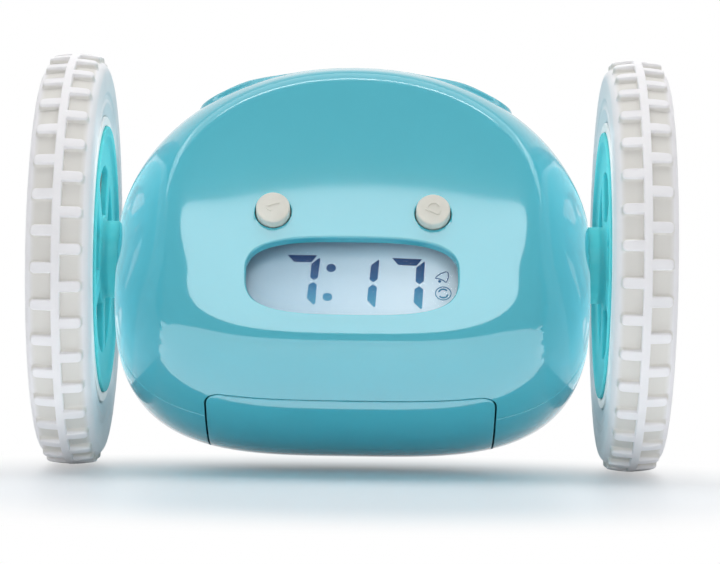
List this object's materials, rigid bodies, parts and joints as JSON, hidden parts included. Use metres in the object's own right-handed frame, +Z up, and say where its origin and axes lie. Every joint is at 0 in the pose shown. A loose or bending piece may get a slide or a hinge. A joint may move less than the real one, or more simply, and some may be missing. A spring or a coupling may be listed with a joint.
{
  "type": "runaway alarm clock",
  "caption": "Barrel-shaped alarm clock between two large driven wheels, with a tilted face, display window, round face buttons and a snooze bar on top.",
  "frame": {"origin": "middle of the clock on the ground, under the axle line", "axes": "+X along the axle to the right wheel as seen from the front, -Y out of the face, +Z up"},
  "size_m": [0.1334, 0.0888, 0.0889],
  "materials": {
    "aqua_shell": "gloss",
    "aqua_hub": "gloss",
    "aqua_inner": "satin",
    "cream_button": "satin",
    "white_tyre": "matte",
    "white_rim": "gloss",
    "clear_lens": "gloss",
    "crystal_panel": "satin",
    "dark_plastic": "matte",
    "board_laminate": "satin",
    "speaker_body": "satin",
    "screw_steel": "satin",
    "cell_jacket": "satin",
    "motor_can": "satin",
    "gear_nylon": "satin",
    "frame_plastic": "satin"
  },
  "bodies": {
    "clock_body": {"front_shell": "aqua_shell", "rear_shell": "aqua_shell", "display_lens": "clear_lens", "display_panel": "crystal_panel", "display_frame": "dark_plastic", "main_board": "board_laminate", "face_switches": "dark_plastic", "board_screws": "screw_steel", "snooze_board": "board_laminate", "snooze_switch": "dark_plastic", "setting_board": "board_laminate", "setting_switches": "dark_plastic", "speaker": "speaker_body", "battery_tray": "aqua_inner", "battery_contacts": "screw_steel", "battery_cells": "cell_jacket", "case_screws": "screw_steel", "left_gear_frame": "frame_plastic", "right_gear_frame": "frame_plastic", "left_motor": "motor_can", "right_motor": "motor_can"},
    "left_wheel": {"left_axle_gear": "gear_nylon", "left_axle": "screw_steel", "left_hub_plate": "aqua_hub", "left_rim": "white_rim", "left_tyre": "white_tyre", "left_outer_plate": "aqua_hub", "left_axle_cap": "cream_button"},
    "left_idler": {"left_idler_gear": "gear_nylon"},
    "left_rotor": {"left_motor_pinion": "screw_steel"},
    "left_eye": {"left_eye_button": "cream_button"},
    "right_wheel": {"right_axle_gear": "gear_nylon", "right_axle": "screw_steel", "right_hub_plate": "aqua_hub", "right_rim": "white_rim", "right_tyre": "white_tyre", "right_outer_plate": "aqua_hub", "right_axle_cap": "cream_button"},
    "right_idler": {"right_idler_gear": "gear_nylon"},
    "right_rotor": {"right_motor_pinion": "screw_steel"},
    "right_eye": {"right_eye_button": "cream_button"},
    "snooze": {"snooze_bar": "aqua_shell"},
    "hour": {"hour_button": "cream_button"},
    "minute": {"minute_button": "cream_button"},
    "door": {"battery_door": "aqua_shell"}
  },
  "joints": [
    {"name": "left_wheel_spin", "type": "hinge", "parent": "clock_body", "child": "left_wheel", "pos_m": [0, 0, 0.04445], "axis": [1, 0, 0], "continuous": true},
    {"name": "left_idler_spin", "type": "hinge", "parent": "clock_body", "child": "left_idler", "pos_m": [0, 0.0144, 0.04445], "axis": [1, 0, 0], "continuous": true},
    {"name": "left_rotor_spin", "type": "hinge", "parent": "clock_body", "child": "left_rotor", "pos_m": [0, 0.01782, 0.0317], "axis": [1, 0, 0], "continuous": true},
    {"name": "right_wheel_spin", "type": "hinge", "parent": "clock_body", "child": "right_wheel", "pos_m": [0, 0, 0.04445], "axis": [1, 0, 0], "continuous": true},
    {"name": "right_idler_spin", "type": "hinge", "parent": "clock_body", "child": "right_idler", "pos_m": [0, 0.0144, 0.04445], "axis": [1, 0, 0], "continuous": true},
    {"name": "right_rotor_spin", "type": "hinge", "parent": "clock_body", "child": "right_rotor", "pos_m": [0, 0.01782, 0.0317], "axis": [1, 0, 0], "continuous": true},
    {"name": "left_eye_press", "type": "slide", "parent": "clock_body", "child": "left_eye", "axis": [0, 0.8829, -0.4695], "range_m": [0, 0.001], "stiffness_N_per_m": 300},
    {"name": "right_eye_press", "type": "slide", "parent": "clock_body", "child": "right_eye", "axis": [0, 0.8829, -0.4695], "range_m": [0, 0.001], "stiffness_N_per_m": 300},
    {"name": "snooze_press", "type": "slide", "parent": "clock_body", "child": "snooze", "axis": [0, -0.1219, -0.9925], "range_m": [0, 0.0012], "stiffness_N_per_m": 500},
    {"name": "hour_press", "type": "slide", "parent": "clock_body", "child": "hour", "axis": [0, -1, 0], "range_m": [0, 0.001], "stiffness_N_per_m": 300},
    {"name": "minute_press", "type": "slide", "parent": "clock_body", "child": "minute", "axis": [0, -1, 0], "range_m": [0, 0.001], "stiffness_N_per_m": 300},
    {"name": "door_swing", "type": "hinge", "parent": "clock_body", "child": "door", "pos_m": [0, -0.03072, 0.01581], "axis": [-1, 0, 0], "range_deg": [0, 60]}
  ],
  "couplings": [
    {"joint": "left_idler_spin", "follows": "left_wheel_spin", "ratio": -3},
    {"joint": "left_rotor_spin", "follows": "left_wheel_spin", "ratio": 10.2},
    {"joint": "right_idler_spin", "follows": "right_wheel_spin", "ratio": -3},
    {"joint": "right_rotor_spin", "follows": "right_wheel_spin", "ratio": 10.2}
  ]
}
